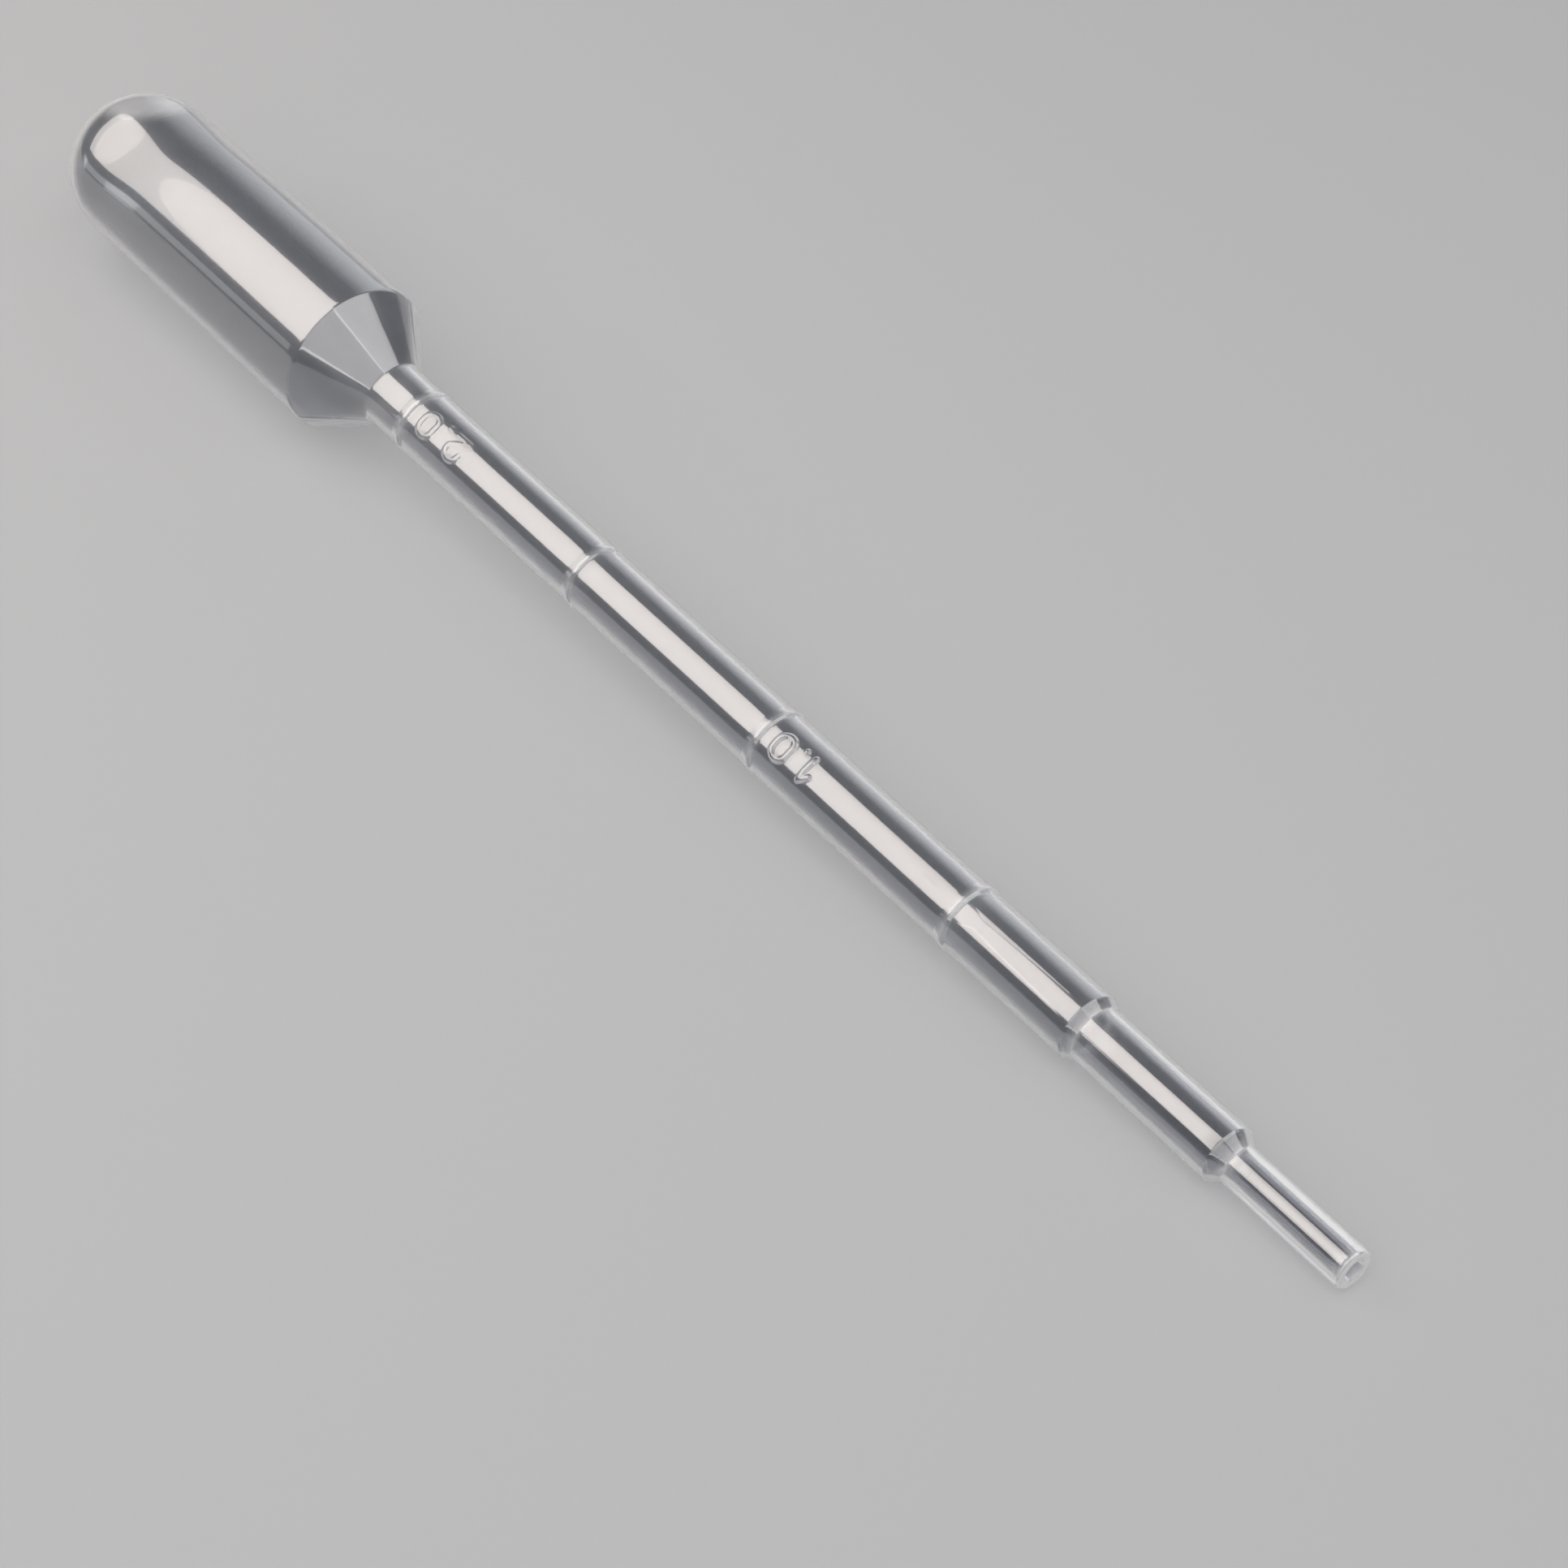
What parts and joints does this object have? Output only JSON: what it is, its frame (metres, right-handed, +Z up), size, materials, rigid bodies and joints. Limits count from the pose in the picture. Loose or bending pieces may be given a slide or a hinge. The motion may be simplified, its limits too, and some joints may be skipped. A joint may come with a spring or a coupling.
{
  "type": "dropper pipette",
  "caption": "Graduated dropper pipette blown in one piece: round-ended squeeze bulb, long stem with raised rings, and a tip that steps down twice to an open end.",
  "frame": {"origin": "centre of the bounding box's underside, on the bench that the pipette lies on", "axes": "+X runs along the pipette from the bulb towards the tip, level with the bench; +Z is up. The pipette's own axis falls 2.29 degrees towards the tip, because the bulb is thicker than the stem. The raised numbers face 30 degrees from straight up, towards -Y"},
  "size_m": [0.16, 0.0136, 0.0148],
  "materials": {
    "clear_polyethylene": "soft clear plastic with a slight milky haze and a smooth, glossy moulded surface"
  },
  "bodies": {
    "root": {"pipette": "clear_polyethylene"}
  },
  "joints": []
}
